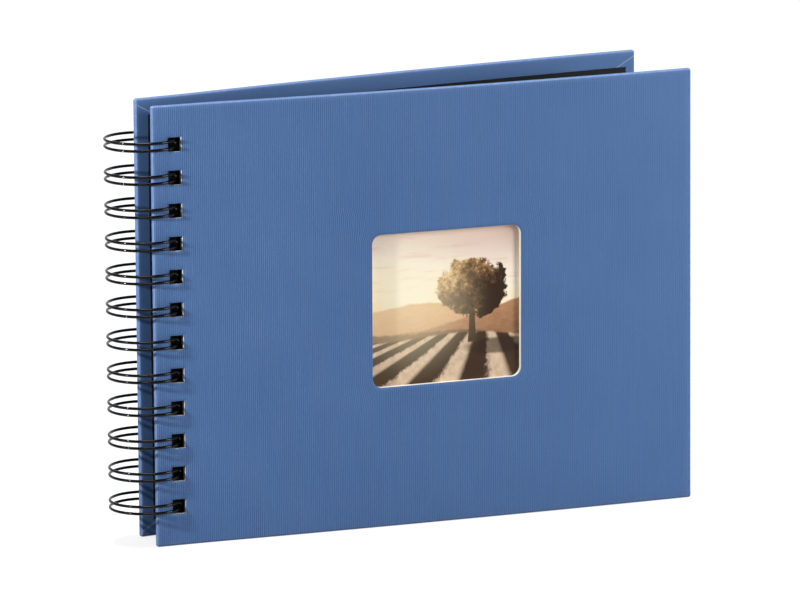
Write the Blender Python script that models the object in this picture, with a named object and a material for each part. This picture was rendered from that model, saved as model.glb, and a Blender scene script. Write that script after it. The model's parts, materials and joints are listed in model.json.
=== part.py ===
"""Wire-bound landscape scrapbook album, standing upright with its covers slightly apart.

Frame: +Z runs up along the spine, the front cover's outer face looks along -Y, the free edges
point along +X and the wire rings stand at -X. The origin is on the table, under the middle of
the album. Everything that turns on the rings is built about the rings' vertical axis.
"""

import math

import bmesh
import bpy
import numpy as np
from mathutils import Matrix, Vector

# --- Driving dimensions, in metres and degrees ---

# Covers: grey board wrapped in paper, with a lining sheet glued over the turned-in edges.
COVER_WIDTH = 0.2220
COVER_HEIGHT = 0.1700
BOARD_THICKNESS = 0.0016
WRAP_THICKNESS = 0.0003
LINING_THICKNESS = 0.0003
GLUE_GAP = 0.0001
EDGE_ROUNDING = 0.0009
TURN_IN_WIDTH = 0.0150
MITRE_WIDTH = 0.00025
LINING_SIDE_MARGIN = 0.0040
LINING_END_MARGIN = 0.0064

# The window in the front cover and the picture behind it.
WINDOW_WIDTH = 0.0615
WINDOW_HEIGHT = 0.0597
WINDOW_CORNER = 0.0038
WINDOW_CENTRE_FROM_SPINE = 0.1187
WINDOW_CENTRE_HEIGHT = 0.0846
PRINT_OVERLAP = 0.0080
PRINT_THICKNESS = 0.00025

# Punching: one square hole for each double loop.
LOOP_COUNT = 12
LOOP_PITCH = 0.0127
HOLE_WIDTH = 0.0054
HOLE_HEIGHT = 0.0056
HOLE_CENTRE_FROM_EDGE = 0.0091

# The wire comb, bent round into rings.
RING_RADIUS = 0.0139
WIRE_DIAMETER = 0.0010
FINGER_SPACING = 0.0027
ROOT_BEND = 0.0010
ROOT_ANGLE = 22.0
TIP_GAP = 0.0008

# Where the covers hang on the rings.
FRONT_FACE_FROM_AXIS = 0.0114
REAR_HOLE_ANGLE = 45.5
REAR_SPLAY = 8.1

# Leaves of black card between the covers.
LEAF_COUNT = 20
LEAF_THICKNESS = 0.0003
LEAF_GAP = 0.0002
LEAF_HEIGHT = 0.1650
LEAF_WIDTH = 0.2160
LEAF_CLEARANCE = 0.0003
LEAF_FAN = 0.07

# Faceting.
ROUNDING_STEPS = 3
WINDOW_CORNER_STEPS = 5
FINGER_STEPS = 18
TIP_STEPS = 4
BEND_STEPS = 2

# How far a cutting tool reaches past the surface that it cuts.
OVERCUT = 0.0010

# --- Sizes that follow from them ---

WRAPPED_THICKNESS = 2 * WRAP_THICKNESS + 2 * GLUE_GAP + BOARD_THICKNESS
COVER_THICKNESS = WRAPPED_THICKNESS + GLUE_GAP + LINING_THICKNESS
BOARD_INSET = WRAP_THICKNESS + GLUE_GAP
FRONT_INNER_FACE = FRONT_FACE_FROM_AXIS - COVER_THICKNESS
LEAF_PITCH = LEAF_THICKNESS + LEAF_GAP
FIRST_LEAF_PLANE = -FRONT_INNER_FACE + LEAF_CLEARANCE + LEAF_THICKNESS / 2
LAST_LEAF_PLANE = FIRST_LEAF_PLANE + (LEAF_COUNT - 1) * LEAF_PITCH
WIRE_RADIUS = WIRE_DIAMETER / 2


def ring_reach(plane):
    """Distance along X from the rings' axis to the wire, in a plane that far off the axis."""
    return math.sqrt(RING_RADIUS ** 2 - plane ** 2)


def slot_middle(steep_plane, square_plane):
    """Middle of the slot that the slanting wire takes up between two planes.

    The wire meets the plane further from the axis at the flatter angle, so its thickness
    reaches further along that plane.
    """
    near = ring_reach(steep_plane)
    far = ring_reach(square_plane)
    near_edge = near - WIRE_RADIUS * RING_RADIUS / near
    far_edge = far + WIRE_RADIUS * RING_RADIUS / far
    return (near_edge + far_edge) / 2


FRONT_HOLE_REACH = slot_middle(FRONT_FACE_FROM_AXIS, FRONT_INNER_FACE)
LEAF_HOLE_REACH = slot_middle(FIRST_LEAF_PLANE, LAST_LEAF_PLANE)
REAR_HOLE = Vector((
    RING_RADIUS * math.cos(math.radians(REAR_HOLE_ANGLE)),
    RING_RADIUS * math.sin(math.radians(REAR_HOLE_ANGLE)),
    0.0,
))
REAR_HOLE_REACH = slot_middle(REAR_HOLE.y + COVER_THICKNESS / 2,
                              REAR_HOLE.y - COVER_THICKNESS / 2) - REAR_HOLE.x


def binding_axis():
    """Place of the rings' axis that puts the origin under the middle of the whole album."""
    splay = math.radians(REAR_SPLAY)
    rounded = REAR_HOLE_REACH - HOLE_CENTRE_FROM_EDGE + COVER_WIDTH - EDGE_ROUNDING
    off_middle = COVER_THICKNESS / 2 - EDGE_ROUNDING
    rear_x = REAR_HOLE.x + rounded * math.cos(splay) - off_middle * math.sin(splay)
    rear_y = REAR_HOLE.y + rounded * math.sin(splay) + off_middle * math.cos(splay)
    front_x = FRONT_HOLE_REACH - HOLE_CENTRE_FROM_EDGE + COVER_WIDTH
    ring_outside = RING_RADIUS + WIRE_RADIUS
    right = max(front_x, rear_x + EDGE_ROUNDING)
    back = rear_y + EDGE_ROUNDING
    return Vector(((ring_outside - right) / 2, (ring_outside - back) / 2, 0.0))


def loop_heights():
    """Heights of the loops and of their holes, from the lowest to the highest."""
    lowest = (COVER_HEIGHT - (LOOP_COUNT - 1) * LOOP_PITCH) / 2
    return [lowest + number * LOOP_PITCH for number in range(LOOP_COUNT)]


# --- Shapes ---

def clear_scene():
    """Remove every object that the scene holds."""
    for obj in list(bpy.data.objects):
        bpy.data.objects.remove(obj, do_unlink=True)


def add_block(bm, low, high):
    """Add a box between two opposite corners and return its vertices."""
    low = Vector(low)
    high = Vector(high)
    size = high - low
    place = Matrix.Translation((low + high) / 2) @ Matrix.Diagonal((*size, 1.0))
    return bmesh.ops.create_cube(bm, size=1.0, matrix=place)["verts"]


def finish_mesh(bm, name):
    """Turn a bmesh into a mesh and free it."""
    mesh = bpy.data.meshes.new(name)
    bm.to_mesh(mesh)
    bm.free()
    return mesh


def block_mesh(name, low, high, rounding=0.0):
    """A box, with all its edges rounded if a rounding is given."""
    bm = bmesh.new()
    add_block(bm, low, high)
    if rounding > 0.0:
        bmesh.ops.bevel(
            bm, geom=bm.edges[:], offset=rounding, segments=ROUNDING_STEPS,
            profile=0.5, affect="EDGES",
        )
    return finish_mesh(bm, name)


def carved(mesh, cutters):
    """The mesh with each cutter's shape taken away."""
    body = bpy.data.objects.new(mesh.name, mesh)
    bpy.context.collection.objects.link(body)
    tools = []
    for cutter in cutters:
        tool = bpy.data.objects.new(cutter.name, cutter)
        bpy.context.collection.objects.link(tool)
        cut = body.modifiers.new(cutter.name, "BOOLEAN")
        cut.operation = "DIFFERENCE"
        cut.solver = "EXACT"
        cut.object = tool
        tools.append(tool)
    evaluated = body.evaluated_get(bpy.context.evaluated_depsgraph_get())
    result = bpy.data.meshes.new_from_object(evaluated)
    result.name = mesh.name
    for obj in [body] + tools:
        bpy.data.objects.remove(obj, do_unlink=True)
    return result


def hole_row(name, centre_x, low_y, high_y):
    """The punch: one square pin for each hole in the row."""
    bm = bmesh.new()
    for height in loop_heights():
        low = (centre_x - HOLE_WIDTH / 2, low_y, height - HOLE_HEIGHT / 2)
        high = (centre_x + HOLE_WIDTH / 2, high_y, height + HOLE_HEIGHT / 2)
        add_block(bm, low, high)
    return finish_mesh(bm, name)


def rounded_rectangle(centre_x, centre_z, width, height, corner):
    """Outline of a rectangle with round corners, anticlockwise as seen from -Y."""
    outline = []
    for quarter, (side_x, side_z) in enumerate(((1, 1), (-1, 1), (-1, -1), (1, -1))):
        middle_x = centre_x + side_x * (width / 2 - corner)
        middle_z = centre_z + side_z * (height / 2 - corner)
        for step in range(WINDOW_CORNER_STEPS + 1):
            angle = math.radians(90.0) * (quarter + step / WINDOW_CORNER_STEPS)
            x = middle_x + corner * math.cos(angle)
            z = middle_z + corner * math.sin(angle)
            outline.append((x, z))
    return outline


def prism_mesh(name, outline, low_y, high_y):
    """An outline in XZ made solid between two planes."""
    bm = bmesh.new()
    face = bm.faces.new([bm.verts.new((x, low_y, z)) for x, z in outline])
    grown = bmesh.ops.extrude_face_region(bm, geom=[face])
    verts = [item for item in grown["geom"] if isinstance(item, bmesh.types.BMVert)]
    bmesh.ops.translate(bm, verts=verts, vec=(0.0, high_y - low_y, 0.0))
    bmesh.ops.recalc_face_normals(bm, faces=bm.faces[:])
    return finish_mesh(bm, name)


# --- Finishes ---

def finish(name, colour, roughness, metallic=0.0):
    """A plain material of one colour."""
    material = bpy.data.materials.new(name)
    material.use_nodes = True
    shader = material.node_tree.nodes["Principled BSDF"]
    shader.inputs["Base Color"].default_value = (*colour, 1.0)
    shader.inputs["Roughness"].default_value = roughness
    shader.inputs["Metallic"].default_value = metallic
    material.diffuse_color = (*colour, 1.0)
    return material


def place(name, mesh, material, parent):
    """Make the mesh a named piece that hangs on its parent."""
    mesh.materials.clear()
    mesh.materials.append(material)
    piece = bpy.data.objects.new(name, mesh)
    bpy.context.collection.objects.link(piece)
    piece.parent = parent
    return piece


def pivot(name, location, turn=0.0):
    """An empty on a vertical hinge axis, turned about it by so many degrees."""
    empty = bpy.data.objects.new(name, None)
    bpy.context.collection.objects.link(empty)
    empty.location = location
    empty.rotation_euler = (0.0, 0.0, math.radians(turn))
    return empty


# --- Covers ---

class CoverFrame:
    """Where a cover lies in its pivot's frame.

    side is -1 where the outer face looks along -Y and +1 where it looks along +Y. Depth is
    measured inwards from the outer face, and reach along X from the spine edge.
    """

    def __init__(self, side, spine_edge, outer_face):
        self.side = side
        self.spine_edge = spine_edge
        self.outer_face = outer_face

    def plane(self, depth):
        """Y of the plane that lies this deep in the cover."""
        return self.side * (self.outer_face - depth)

    def corners(self, reach, depth, height):
        """Low and high corner of a box given as three pairs."""
        planes = sorted(self.plane(value) for value in depth)
        low = (self.spine_edge + reach[0], planes[0], height[0])
        high = (self.spine_edge + reach[1], planes[1], height[1])
        return low, high

    def punch(self):
        """The punch for this cover's row of holes."""
        low, high = self.corners((0.0, 0.0), (-OVERCUT, COVER_THICKNESS + OVERCUT), (0.0, 0.0))
        return hole_row("punch", self.spine_edge + HOLE_CENTRE_FROM_EDGE, low[1], high[1])


def inset_box(cover, inset, depth):
    """Corners of a plate whose four edges stand back from the cover's by the same inset."""
    reach = (inset, COVER_WIDTH - inset)
    height = (inset, COVER_HEIGHT - inset)
    return cover.corners(reach, depth, height)


def mitre_cutters(cover):
    """Four diagonal slits where the turned-in edges of the wrap meet at the corners."""
    length = math.hypot(TURN_IN_WIDTH, TURN_IN_WIDTH) - 2 * EDGE_ROUNDING
    middle = TURN_IN_WIDTH / 2 + EDGE_ROUNDING / math.sqrt(2.0)
    depth = (WRAPPED_THICKNESS - WRAP_THICKNESS - GLUE_GAP / 2, WRAPPED_THICKNESS + OVERCUT)
    planes = sorted(cover.plane(value) for value in depth)
    meshes = []
    for reach, x_sign in ((middle, 1), (COVER_WIDTH - middle, -1)):
        for height, z_sign in ((middle, 1), (COVER_HEIGHT - middle, -1)):
            bm = bmesh.new()
            low = (-length / 2 - OVERCUT / 4, planes[0], -MITRE_WIDTH / 2)
            high = (length / 2 + OVERCUT / 4, planes[1], MITRE_WIDTH / 2)
            verts = add_block(bm, low, high)
            turn = Matrix.Rotation(math.radians(-45.0 * x_sign * z_sign), 4, "Y")
            move = Matrix.Translation((cover.spine_edge + reach, 0.0, height))
            bmesh.ops.transform(bm, verts=verts, matrix=move @ turn)
            meshes.append(finish_mesh(bm, "mitre"))
    return meshes


def window_cutter(cover):
    """The die that cuts the window out of the wrap and the board."""
    outline = rounded_rectangle(
        cover.spine_edge + WINDOW_CENTRE_FROM_SPINE, WINDOW_CENTRE_HEIGHT,
        WINDOW_WIDTH, WINDOW_HEIGHT, WINDOW_CORNER,
    )
    planes = sorted((cover.plane(-OVERCUT), cover.plane(WRAPPED_THICKNESS + OVERCUT)))
    return prism_mesh("window", outline, *planes)


def wrap_mesh(cover, has_window):
    """The covering paper: outer sheet, round edges and mitred strips turned in all round."""
    body = block_mesh("wrap", *inset_box(cover, 0.0, (0.0, WRAPPED_THICKNESS)), EDGE_ROUNDING)
    hollow = block_mesh(
        "board_space",
        *inset_box(cover, WRAP_THICKNESS, (WRAP_THICKNESS, WRAPPED_THICKNESS - WRAP_THICKNESS)),
        EDGE_ROUNDING - WRAP_THICKNESS,
    )
    middle_depth = WRAPPED_THICKNESS / 2
    inside = block_mesh(
        "inside", *inset_box(cover, TURN_IN_WIDTH, (middle_depth, WRAPPED_THICKNESS + OVERCUT)),
    )
    cutters = [hollow, inside, cover.punch()] + mitre_cutters(cover)
    if has_window:
        cutters.append(window_cutter(cover))
    return carved(body, cutters)


def board_mesh(cover, has_window):
    """The stiff board that the paper is wrapped round."""
    depth = (BOARD_INSET, BOARD_INSET + BOARD_THICKNESS)
    body = block_mesh("board", *inset_box(cover, BOARD_INSET, depth), EDGE_ROUNDING - BOARD_INSET)
    cutters = [cover.punch()]
    if has_window:
        cutters.append(window_cutter(cover))
    return carved(body, cutters)


def lining_mesh(cover):
    """The sheet on the inside, which leaves a narrow border of the wrap in view."""
    reach = (LINING_SIDE_MARGIN, COVER_WIDTH - LINING_SIDE_MARGIN)
    height = (LINING_END_MARGIN, COVER_HEIGHT - LINING_END_MARGIN)
    depth = (COVER_THICKNESS - LINING_THICKNESS, COVER_THICKNESS)
    return carved(block_mesh("lining", *cover.corners(reach, depth, height)), [cover.punch()])


def print_mesh(cover):
    """The picture behind the window, held between the board and the lining."""
    half_width = WINDOW_WIDTH / 2 + PRINT_OVERLAP
    half_height = WINDOW_HEIGHT / 2 + PRINT_OVERLAP
    reach = (WINDOW_CENTRE_FROM_SPINE - half_width, WINDOW_CENTRE_FROM_SPINE + half_width)
    height = (WINDOW_CENTRE_HEIGHT - half_height, WINDOW_CENTRE_HEIGHT + half_height)
    front = BOARD_INSET + BOARD_THICKNESS + GLUE_GAP
    return block_mesh("print", *cover.corners(reach, (front, front + PRINT_THICKNESS), height))


def build_cover(prefix, cover, hinge, has_window, finishes):
    """Make a cover's board, wrap and lining on its pivot."""
    place(prefix + "_paper", wrap_mesh(cover, has_window), finishes["paper"], hinge)
    place(prefix + "_board", board_mesh(cover, has_window), finishes["board"], hinge)
    place(prefix + "_lining", lining_mesh(cover), finishes["card"], hinge)


def build_front_cover(axis, finishes):
    """The front cover slides round the rings, so its pivot stands on the rings' axis."""
    hinge = pivot("front_cover_pivot", axis)
    cover = CoverFrame(-1, FRONT_HOLE_REACH - HOLE_CENTRE_FROM_EDGE, FRONT_FACE_FROM_AXIS)
    build_cover("front_cover", cover, hinge, True, finishes)
    place("cover_print", print_mesh(cover), finishes["print"], hinge)


def build_rear_cover(axis, finishes):
    """The rear cover swings on the wire at its own holes, so its pivot stands in their row.

    The holes lie a little off the pivot, so that the slanting wire runs through their middle
    once the cover is closed.
    """
    hinge = pivot("rear_cover_pivot", axis + REAR_HOLE, REAR_SPLAY)
    cover = CoverFrame(1, REAR_HOLE_REACH - HOLE_CENTRE_FROM_EDGE, COVER_THICKNESS / 2)
    build_cover("rear_cover", cover, hinge, False, finishes)


# --- Leaves ---

def leaf_mesh():
    """One card leaf about its own middle plane, with its row of holes."""
    spine_edge = LEAF_HOLE_REACH - HOLE_CENTRE_FROM_EDGE
    bottom = (COVER_HEIGHT - LEAF_HEIGHT) / 2
    low = (spine_edge, -LEAF_THICKNESS / 2, bottom)
    high = (spine_edge + LEAF_WIDTH, LEAF_THICKNESS / 2, bottom + LEAF_HEIGHT)
    punch = hole_row("punch", LEAF_HOLE_REACH, low[1] - OVERCUT, high[1] + OVERCUT)
    return carved(block_mesh("leaf", low, high), [punch])


def build_leaves(axis, finishes):
    """The leaves stand behind the front cover, each turned a little further than the last."""
    mesh = leaf_mesh()
    for number in range(LEAF_COUNT):
        label = f"leaf_{number + 1:02d}"
        hinge = pivot(label + "_pivot", axis, LEAF_FAN * (number + 1))
        leaf = place(label, mesh, finishes["leaf"], hinge)
        leaf.location.y = FIRST_LEAF_PLANE + number * LEAF_PITCH


# --- Wire comb ---

def arc(centre, radius, start, end, steps):
    """Points on an arc in the unrolled plane, from start to end degrees, both included."""
    points = []
    for step in range(steps + 1):
        angle = math.radians(start + (end - start) * step / steps)
        along = centre[0] + radius * math.cos(angle)
        height = centre[1] + radius * math.sin(angle)
        points.append((along, height))
    return points


def comb_path():
    """Centre line of the comb, unrolled into arc length round the rings and height.

    The wire runs out along one finger, turns at the tip, comes back along the other and goes
    on down the root to the next pair.
    """
    root = RING_RADIUS * math.radians(ROOT_ANGLE)
    tip = root + 2.0 * math.pi * RING_RADIUS - WIRE_DIAMETER - TIP_GAP
    half = FINGER_SPACING / 2
    bend = root + ROOT_BEND
    finger = tip - half - bend
    heights = loop_heights()[::-1]
    points = []
    for number, height in enumerate(heights):
        upper = height + half
        lower = height - half
        if number == 0:
            points.append((root, upper))
            points.append((bend, upper))
        else:
            points += arc((bend, upper + ROOT_BEND), ROOT_BEND, 180.0, 270.0, BEND_STEPS)
        for step in range(1, FINGER_STEPS):
            points.append((bend + finger * step / FINGER_STEPS, upper))
        points += arc((tip - half, height), half, 90.0, -90.0, TIP_STEPS)
        for step in range(FINGER_STEPS - 1, 0, -1):
            points.append((bend + finger * step / FINGER_STEPS, lower))
        if number == LOOP_COUNT - 1:
            points.append((bend, lower))
            points.append((root, lower))
        else:
            points += arc((bend, lower - ROOT_BEND), ROOT_BEND, 90.0, 180.0, BEND_STEPS)
    return points


def rolled(points):
    """The unrolled points bent round the rings' axis."""
    result = []
    for along, height in points:
        angle = along / RING_RADIUS
        result.append((RING_RADIUS * math.cos(angle), RING_RADIUS * math.sin(angle), height))
    return result


def least_gap(points):
    """Least gap between stretches of the wire that aren't next to each other."""
    places = np.array(points)
    steps = np.linalg.norm(np.diff(places, axis=0), axis=1)
    along = np.concatenate(([0.0], np.cumsum(steps)))
    distance = np.linalg.norm(places[:, None, :] - places[None, :, :], axis=2)
    separate = np.abs(along[:, None] - along[None, :]) > 2.0 * math.pi * WIRE_DIAMETER
    return float(distance[separate].min()) - WIRE_DIAMETER


def build_wire(axis, finishes):
    """One unbroken comb of coated wire, closed into double loops."""
    points = rolled(comb_path())
    curve = bpy.data.curves.new("wire_binding", "CURVE")
    curve.dimensions = "3D"
    curve.bevel_depth = WIRE_RADIUS
    curve.bevel_resolution = 1
    curve.use_fill_caps = True
    spline = curve.splines.new("POLY")
    spline.points.add(len(points) - 1)
    for spot, (x, y, z) in zip(spline.points, points):
        spot.co = (x, y, z, 1.0)
    curve.materials.append(finishes["wire"])
    wire = bpy.data.objects.new("wire_binding", curve)
    bpy.context.collection.objects.link(wire)
    wire.location = axis
    print(f"Least gap of the wire to itself: {least_gap(points) * 1000.0:.2f} mm")


def main():
    """Build the album."""
    clear_scene()
    finishes = {
        "paper": finish("blue_covering_paper", (0.045, 0.110, 0.330), 0.70),
        "board": finish("cream_board", (0.780, 0.730, 0.620), 0.85),
        "card": finish("black_lining_card", (0.014, 0.014, 0.015), 0.80),
        "leaf": finish("black_leaf_card", (0.018, 0.018, 0.019), 0.85),
        "print": finish("picture_print", (0.780, 0.560, 0.400), 0.40),
        "wire": finish("black_coated_wire", (0.012, 0.012, 0.013), 0.28, 0.20),
    }
    axis = binding_axis()
    build_wire(axis, finishes)
    build_front_cover(axis, finishes)
    build_rear_cover(axis, finishes)
    build_leaves(axis, finishes)


main()
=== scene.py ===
"""Looks of a wire-bound scrapbook album, standing upright with its covers slightly apart.

Every new piece is a sheet: an open skin of grids worked out with numpy in the cover's own
coordinates (reach from the spine edge, depth inwards from the outer face, height), thickened
and then carried to its place in the row frame. Sizes are in metres and angles in degrees.
"""

from __future__ import annotations

import json
import logging
import math
from dataclasses import dataclass, field, replace
from enum import Enum

import bpy
import numpy as np
from mathutils import Matrix, Vector

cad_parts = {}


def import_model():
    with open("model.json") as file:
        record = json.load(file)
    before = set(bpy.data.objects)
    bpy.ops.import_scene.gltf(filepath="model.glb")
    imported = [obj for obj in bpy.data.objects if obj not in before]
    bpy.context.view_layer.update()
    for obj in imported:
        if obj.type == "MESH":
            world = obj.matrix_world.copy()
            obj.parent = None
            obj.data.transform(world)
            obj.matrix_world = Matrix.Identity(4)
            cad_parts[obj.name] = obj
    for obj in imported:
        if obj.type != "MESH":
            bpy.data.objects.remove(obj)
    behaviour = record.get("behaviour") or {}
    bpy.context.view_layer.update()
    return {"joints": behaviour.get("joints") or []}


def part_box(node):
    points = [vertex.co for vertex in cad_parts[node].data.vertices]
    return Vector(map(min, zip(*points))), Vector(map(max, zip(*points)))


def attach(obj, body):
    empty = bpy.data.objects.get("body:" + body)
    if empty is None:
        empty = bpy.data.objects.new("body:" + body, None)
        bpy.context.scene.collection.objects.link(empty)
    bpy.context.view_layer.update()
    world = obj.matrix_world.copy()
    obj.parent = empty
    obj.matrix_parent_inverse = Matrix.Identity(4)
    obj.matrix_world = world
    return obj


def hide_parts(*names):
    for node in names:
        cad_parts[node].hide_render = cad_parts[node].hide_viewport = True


LOG = logging.getLogger("album")
Colour = tuple[float, float, float]
Place = tuple[float, float, float]
SHEET_MAP = "sheet"

COVER_HEIGHT = 0.1700
ROUNDING_STEPS = 4
SMOOTH_ANGLE = 34.0

# Lines closer than this are one line, and points closer than this are one point.
LINE_GAP = 2e-5
POINT_GAP = 1e-6
# Keeps a length that is divided by off zero.
TINY = 1e-12


class Slot(Enum):
    """The record's material slots."""

    PAPER = "blue_covering_paper"
    BOARD = "cream_board"
    LINING = "black_lining_card"
    LEAF = "black_leaf_card"
    PRINT = "picture_print"
    WIRE = "black_coated_wire"


Finishes = dict[Slot, bpy.types.Material]


# --- Shader arithmetic ---

class Signal:
    """A node's output that Python's operators turn into Math nodes."""

    def __init__(self, graph: "Graph", socket: bpy.types.NodeSocket) -> None:
        """Keep the socket and the graph that it belongs to."""
        self.graph = graph
        self.socket = socket

    def _math(self, operation: str, first: object, second: object = None) -> "Signal":
        """Add one Math node.

        Args:
            operation: The Math node's operation.
            first: Signal or number for the first socket.
            second: Signal or number for the second socket, where it has one.

        Returns:
            The node's value.
        """
        values = {0: first} if second is None else {0: first, 1: second}
        return self.graph.node("ShaderNodeMath", {"operation": operation}, values)

    def __add__(self, other: object) -> "Signal":
        """Sum of both."""
        return self._math("ADD", self, other)

    def __radd__(self, other: object) -> "Signal":
        """Sum of both."""
        return self._math("ADD", other, self)

    def __sub__(self, other: object) -> "Signal":
        """This less the other."""
        return self._math("SUBTRACT", self, other)

    def __rsub__(self, other: object) -> "Signal":
        """The other less this."""
        return self._math("SUBTRACT", other, self)

    def __mul__(self, other: object) -> "Signal":
        """Product of both."""
        return self._math("MULTIPLY", self, other)

    def __truediv__(self, other: object) -> "Signal":
        """This over the other."""
        return self._math("DIVIDE", self, other)

    def apply(self, operation: str, other: object = None) -> "Signal":
        """Any other Math operation, such as SINE or MINIMUM."""
        return self._math(operation, self, other)

    def step(self, low: float, high: float) -> "Signal":
        """Smooth step of this value.

        Args:
            low: Value below which the step is 0.
            high: Value above which the step is 1; below low it steps down.

        Returns:
            A value from 0 to 1.
        """
        settings = {"interpolation_type": "SMOOTHSTEP"}
        if low < high:
            values = {0: self, 1: low, 2: high, 3: 0.0, 4: 1.0}
        else:
            values = {0: self, 1: high, 2: low, 3: 1.0, 4: 0.0}
        return self.graph.node("ShaderNodeMapRange", settings, values)


class Graph:
    """A material and the nodes that are added to it."""

    def __init__(self, name: str) -> None:
        """Make an empty material with one Principled shader."""
        self.material = bpy.data.materials.new(name)
        self.material.use_nodes = True
        self.tree = self.material.node_tree
        self.shader = self.tree.nodes["Principled BSDF"]

    def node(self, kind: str, settings: dict[str, object], values: dict[object, object],
             output: object = 0) -> Signal:
        """Add a node of any kind.

        Args:
            kind: Blender's name for the node.
            settings: Its options, set first; "stops" are a ramp's places and colours.
            values: Numbers, colours or Signals for its inputs, by name or number.
            output: Name or number of the output that is wanted.

        Returns:
            That output as a Signal.
        """
        node = self.tree.nodes.new(kind)
        for key, value in settings.items():
            if key == "stops":
                self._set_stops(node.color_ramp, value)
            else:
                setattr(node, key, value)
        for key, value in values.items():
            self._feed(node.inputs[key], value)
        return Signal(self, node.outputs[output])

    def _set_stops(self, ramp: bpy.types.ColorRamp,
                   stops: list[tuple[float, Colour]]) -> None:
        """Give a ramp its places and colours."""
        while len(ramp.elements) < len(stops):
            ramp.elements.new(1.0)
        for element, (place, colour) in zip(ramp.elements, stops):
            element.position = place
            element.color = (*colour, 1.0)

    def _feed(self, socket: bpy.types.NodeSocket, value: object) -> None:
        """Link a Signal to a socket, or set a number or colour on it."""
        if isinstance(value, Signal):
            self.tree.links.new(value.socket, socket)
        elif isinstance(value, tuple) and socket.type == "RGBA":
            socket.default_value = (*value, 1.0)
        else:
            socket.default_value = value

    def finish(self, **values: object) -> bpy.types.Material:
        """Feed the Principled shader's sockets.

        Args:
            values: Numbers, colours or Signals, with underscores for the names' spaces.

        Returns:
            The finished material.
        """
        for key, value in values.items():
            self._feed(self.shader.inputs[key.replace("_", " ")], value)
        return self.material

    def attribute(self, name: str) -> Signal:
        """A number that the mesh carries at its points."""
        settings = {"attribute_type": "GEOMETRY", "attribute_name": name}
        return self.node("ShaderNodeAttribute", settings, {}, "Fac")

    def sheet(self) -> Signal:
        """Place on the flat sheet in metres, from the mesh's own map."""
        return self.node("ShaderNodeUVMap", {"uv_map": SHEET_MAP}, {})

    def place(self) -> Signal:
        """Object coordinates in metres."""
        return self.node("ShaderNodeTexCoord", {}, {}, "Object")

    def part(self, vector: Signal, axis: str) -> Signal:
        """One coordinate of a vector."""
        return self.node("ShaderNodeSeparateXYZ", {}, {0: vector}, axis)

    def stretch(self, vector: Signal, x: float, y: float, z: float = 1.0) -> Signal:
        """A vector with each coordinate made larger by its own factor."""
        return self.node("ShaderNodeVectorMath", {"operation": "MULTIPLY"},
                         {0: vector, 1: (x, y, z)})

    def noise(self, vector: Signal, scale: float, detail: float = 2.0,
              roughness: float = 0.5) -> Signal:
        """Cloudy noise about 0.5, with scale in features per unit of the vector."""
        values = {"Vector": vector, "Scale": scale, "Detail": detail, "Roughness": roughness}
        return self.node("ShaderNodeTexNoise", {}, values, "Fac")

    def mix(self, factor: object, first: object, second: object) -> Signal:
        """Colour from first to second as the factor goes from 0 to 1."""
        return self._mix("MIX", factor, first, second)

    def tint(self, colour: object, shade: Signal) -> Signal:
        """A colour multiplied by a value."""
        return self._mix("MULTIPLY", 1.0, colour, shade)

    def _mix(self, blend: str, factor: object, first: object, second: object) -> Signal:
        """Add one Mix node that works on colours."""
        node = self.tree.nodes.new("ShaderNodeMix")
        node.data_type = "RGBA"
        node.blend_type = blend
        colours = [socket for socket in node.inputs if socket.type == "RGBA"]
        self._feed(node.inputs["Factor"], factor)
        self._feed(colours[0], first)
        self._feed(colours[1], second)
        found = [socket for socket in node.outputs if socket.type == "RGBA"]
        return Signal(self, found[0])

    def bump(self, height: Signal, depth: float, strength: float = 1.0) -> Signal:
        """Normal of a relief.

        Args:
            height: Relief from 0 to 1.
            depth: What 1 stands for, in metres.
            strength: Share of the relief that shows.

        Returns:
            The normal.
        """
        values = {"Height": height, "Distance": depth, "Strength": strength}
        return self.node("ShaderNodeBump", {}, values)


# --- Finishes ---

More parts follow.
